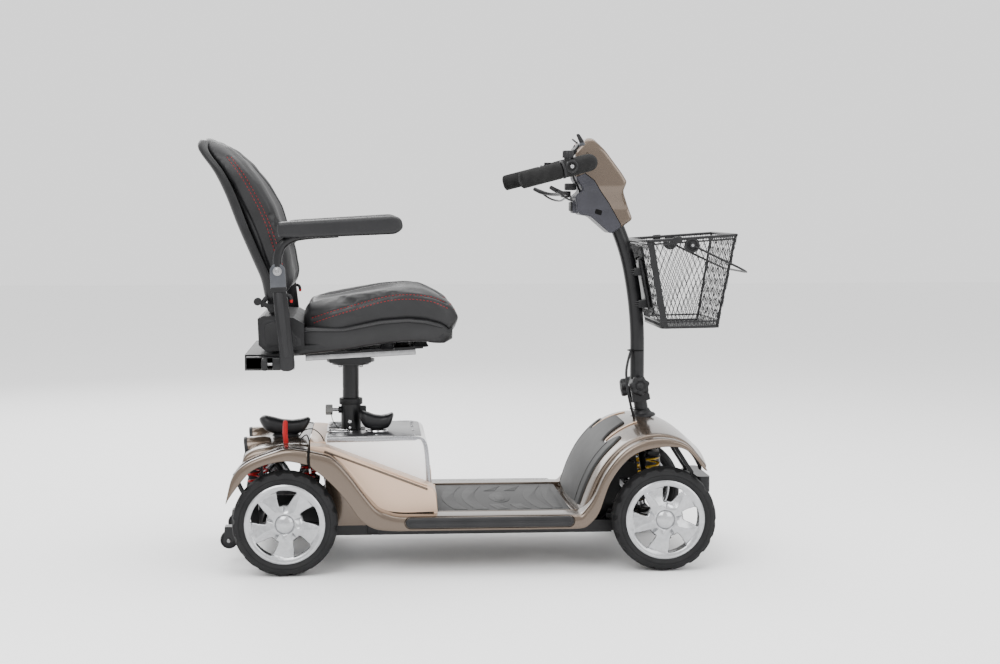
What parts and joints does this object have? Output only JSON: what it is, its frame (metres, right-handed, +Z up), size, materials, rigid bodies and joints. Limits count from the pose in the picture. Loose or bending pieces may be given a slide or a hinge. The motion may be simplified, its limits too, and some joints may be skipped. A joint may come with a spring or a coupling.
{
  "type": "mobility scooter",
  "caption": "Four-wheel mobility scooter with a swivelling padded seat, flip-up armrests, folding tiller, wire basket, sprung axles and a take-apart body",
  "frame": {"origin": "on the ground under the middle of the scooter's overall length and width", "axes": "+X forward along the length, +Y to the rider's left, +Z up"},
  "size_m": [1.2354, 0.58, 0.963],
  "materials": {
    "tyre": "black rubber tyre",
    "wheel": "silver-white painted wheel cover",
    "frame": "satin black powder coat",
    "body": "metallic champagne painted plastic",
    "mat": "dark grey moulded rubber mat",
    "strip": "black rubber rubbing strip",
    "lamp": "metallic champagne lamp housing",
    "lens": "red lens",
    "battery": "white and silver battery case",
    "black_plastic": "black moulded plastic",
    "dark_plastic": "dark grey moulded plastic",
    "cast": "bare cast aluminium",
    "steel": "bare and zinc-plated steel",
    "yellow_spring": "yellow spring enamel",
    "red_paint": "red enamel",
    "leather": "black leatherette with red stitching",
    "foam": "black foam grip",
    "mesh": "black coated wire mesh"
  },
  "bodies": {
    "chassis": {"rear_frame": "frame", "seat_post_socket": "frame", "rear_springs": "red_paint", "front_frame": "frame", "front_springs": "yellow_spring", "rear_body_cover": "body", "tail_light_housings": "lamp", "tail_light_lenses": "lens", "main_body": "body", "floor_mats": "mat", "side_rubber_strips": "strip", "battery_box": "battery", "saddle_handles": "black_plastic"},
    "drive_unit": {"drive_carrier": "frame", "transaxle": "cast"},
    "rear_left_wheel": {"rear_left_tyre": "tyre", "rear_left_rim": "wheel"},
    "rear_right_wheel": {"rear_right_tyre": "tyre", "rear_right_rim": "wheel"},
    "left_anti_tip": {"left_anti_tip_wheel": "black_plastic"},
    "right_anti_tip": {"right_anti_tip_wheel": "black_plastic"},
    "freewheel": {"freewheel_lever": "red_paint"},
    "pin": {"post_pin": "black_plastic"},
    "front_axle": {"front_axle_beam": "frame"},
    "left_hub": {"left_knuckle": "frame"},
    "right_hub": {"right_knuckle": "frame"},
    "front_left_wheel": {"front_left_tyre": "tyre", "front_left_rim": "wheel"},
    "front_right_wheel": {"front_right_tyre": "tyre", "front_right_rim": "wheel"},
    "column": {"steering_column": "frame", "tiller_cable": "black_plastic"},
    "link": {"track_rod": "steel"},
    "knobs": {"tiller_knobs": "black_plastic"},
    "tiller": {"tiller_tube": "frame", "head_front_cover": "body", "head_rear_cover": "dark_plastic", "handlebar": "frame", "handlebar_grips": "foam", "basket_bracket": "frame"},
    "throttle": {"throttle_paddle": "black_plastic"},
    "dial": {"speed_dial": "black_plastic"},
    "key": {"ignition_key": "black_plastic"},
    "horn": {"horn_button": "black_plastic"},
    "basket": {"basket": "mesh"},
    "bail": {"basket_handle": "mesh"},
    "post": {"seat_post": "frame"},
    "swivel": {"seat_rails": "steel"},
    "seat": {"seat_frame": "steel", "seat_shell": "black_plastic", "seat_cushion": "leather"},
    "backrest": {"backrest_shell": "black_plastic", "backrest_cushion": "leather"},
    "recliner": {"recline_lever": "black_plastic"},
    "left_arm": {"left_arm_support": "frame"},
    "right_arm": {"right_arm_support": "frame"},
    "left_rest": {"left_armrest": "black_plastic"},
    "right_rest": {"right_armrest": "black_plastic"},
    "left_arm_screw": {"left_arm_knob": "black_plastic"},
    "right_arm_screw": {"right_arm_knob": "black_plastic"}
  },
  "joints": [
    {"name": "rear_suspension", "type": "hinge", "parent": "chassis", "child": "drive_unit", "pos_m": [-0.27575, 0, 0.1], "axis": [0, 1, 0], "range_deg": [-2.5, 2.5], "stiffness_Nm_per_rad": 12000, "deforming": ["rear_springs"]},
    {"name": "rear_left_wheel_spin", "type": "hinge", "parent": "drive_unit", "child": "rear_left_wheel", "pos_m": [-0.42575, 0.232, 0.115], "axis": [0, 1, 0], "continuous": true},
    {"name": "rear_right_wheel_spin", "type": "hinge", "parent": "drive_unit", "child": "rear_right_wheel", "pos_m": [-0.42575, -0.232, 0.115], "axis": [0, 1, 0], "continuous": true},
    {"name": "left_anti_tip_spin", "type": "hinge", "parent": "chassis", "child": "left_anti_tip", "pos_m": [-0.55675, 0.112, 0.057], "axis": [0, 1, 0], "continuous": true},
    {"name": "right_anti_tip_spin", "type": "hinge", "parent": "chassis", "child": "right_anti_tip", "pos_m": [-0.55675, -0.112, 0.057], "axis": [0, 1, 0], "continuous": true},
    {"name": "freewheel_lever_throw", "type": "hinge", "parent": "chassis", "child": "freewheel", "pos_m": [-0.42675, -0.15, 0.262], "axis": [0, 1, 0], "range_deg": [-38, 0]},
    {"name": "post_pin_push", "type": "slide", "parent": "chassis", "child": "pin", "axis": [1, 0, 0], "range_m": [0, 0.012]},
    {"name": "front_suspension", "type": "hinge", "parent": "chassis", "child": "front_axle", "pos_m": [0.31425, 0, 0.094], "axis": [0, 1, 0], "range_deg": [-2, 2], "stiffness_Nm_per_rad": 6000, "deforming": ["front_springs"]},
    {"name": "tiller_steer", "type": "hinge", "parent": "chassis", "child": "column", "pos_m": [0.41396, 0, 0.21701], "axis": [-0.165, 0, 0.9863], "range_deg": [-35, 35]},
    {"name": "left_hub_steer", "type": "hinge", "parent": "front_axle", "child": "left_hub", "pos_m": [0.41025, 0.19, 0.115], "axis": [-0.165, 0, 0.9863], "range_deg": [-35, 35]},
    {"name": "right_hub_steer", "type": "hinge", "parent": "front_axle", "child": "right_hub", "pos_m": [0.41025, -0.19, 0.115], "axis": [-0.165, 0, 0.9863], "range_deg": [-35, 35]},
    {"name": "track_rod_swing", "type": "hinge", "parent": "column", "child": "link", "pos_m": [0.38014, 0, 0.14646], "axis": [-0.165, 0, 0.9863], "range_deg": [-35, 35]},
    {"name": "front_left_wheel_spin", "type": "hinge", "parent": "left_hub", "child": "front_left_wheel", "pos_m": [0.41025, 0.232, 0.115], "axis": [0, 1, 0], "continuous": true},
    {"name": "front_right_wheel_spin", "type": "hinge", "parent": "right_hub", "child": "front_right_wheel", "pos_m": [0.41025, -0.232, 0.115], "axis": [0, 1, 0], "continuous": true},
    {"name": "tiller_knob_turn", "type": "hinge", "parent": "column", "child": "knobs", "pos_m": [0.38516, 0, 0.38912], "axis": [0, 1, 0], "continuous": true},
    {"name": "tiller_fold", "type": "hinge", "parent": "column", "child": "tiller", "pos_m": [0.38516, 0, 0.38912], "axis": [0, 1, 0], "range_deg": [-18, 6], "deforming": ["tiller_cable"]},
    {"name": "throttle_wigwag", "type": "hinge", "parent": "tiller", "child": "throttle", "pos_m": [0.21825, 0, 0.833], "axis": [0, 0, 1], "range_deg": [-8, 8], "stiffness_Nm_per_rad": 1},
    {"name": "speed_dial_turn", "type": "hinge", "parent": "tiller", "child": "dial", "pos_m": [0.19556, -0.22101, 0.88814], "axis": [0, 0, 1], "range_deg": [0, 270]},
    {"name": "key_turn", "type": "hinge", "parent": "tiller", "child": "key", "pos_m": [0.24325, -0.024, 0.946], "axis": [-0.7718, 0, 0.6358], "range_deg": [0, 90]},
    {"name": "horn_press", "type": "slide", "parent": "tiller", "child": "horn", "axis": [0.7718, 0, -0.6358], "range_m": [0, 0.002], "stiffness_N_per_m": 400},
    {"name": "basket_lift", "type": "slide", "parent": "tiller", "child": "basket", "axis": [-0.1885, 0, 0.9821], "range_m": [0, 0.045]},
    {"name": "basket_handle_swing", "type": "hinge", "parent": "basket", "child": "bail", "pos_m": [0.48525, 0, 0.718], "axis": [0, -1, 0], "range_deg": [-25, 140]},
    {"name": "seat_height", "type": "slide", "parent": "chassis", "child": "post", "axis": [0, 0, 1], "range_m": [-0.05, 0.05]},
    {"name": "seat_swivel", "type": "hinge", "parent": "post", "child": "swivel", "pos_m": [-0.28325, 0, 0.448], "axis": [0, 0, 1], "continuous": true},
    {"name": "seat_slide", "type": "slide", "parent": "swivel", "child": "seat", "axis": [0.9986, 0, 0.0523], "range_m": [-0.04, 0.04]},
    {"name": "backrest_fold", "type": "hinge", "parent": "seat", "child": "backrest", "pos_m": [-0.45375, 0, 0.582], "axis": [0, -1, 0], "range_deg": [-36, 6]},
    {"name": "recline_lever_pull", "type": "hinge", "parent": "seat", "child": "recliner", "pos_m": [-0.45375, -0.184, 0.582], "axis": [0, -1, 0], "range_deg": [0, 20], "stiffness_Nm_per_rad": 0.5},
    {"name": "left_arm_width", "type": "slide", "parent": "seat", "child": "left_arm", "axis": [0, 1, 0], "range_m": [-0.012, 0.04]},
    {"name": "left_armrest_flip", "type": "hinge", "parent": "left_arm", "child": "left_rest", "pos_m": [-0.43675, 0.249, 0.666], "axis": [0, -1, 0], "range_deg": [0, 90]},
    {"name": "left_arm_knob_turn", "type": "hinge", "parent": "left_arm", "child": "left_arm_screw", "pos_m": [-0.46575, 0.244, 0.464], "axis": [1, 0, 0], "continuous": true},
    {"name": "right_arm_width", "type": "slide", "parent": "seat", "child": "right_arm", "axis": [0, -1, 0], "range_m": [-0.012, 0.04]},
    {"name": "right_armrest_flip", "type": "hinge", "parent": "right_arm", "child": "right_rest", "pos_m": [-0.43675, -0.249, 0.666], "axis": [0, -1, 0], "range_deg": [0, 90]},
    {"name": "right_arm_knob_turn", "type": "hinge", "parent": "right_arm", "child": "right_arm_screw", "pos_m": [-0.46575, -0.244, 0.464], "axis": [1, 0, 0], "continuous": true}
  ],
  "couplings": [
    {"joint": "left_hub_steer", "follows": "tiller_steer", "ratio": 1},
    {"joint": "right_hub_steer", "follows": "tiller_steer", "ratio": 1},
    {"joint": "track_rod_swing", "follows": "tiller_steer", "ratio": -1}
  ]
}
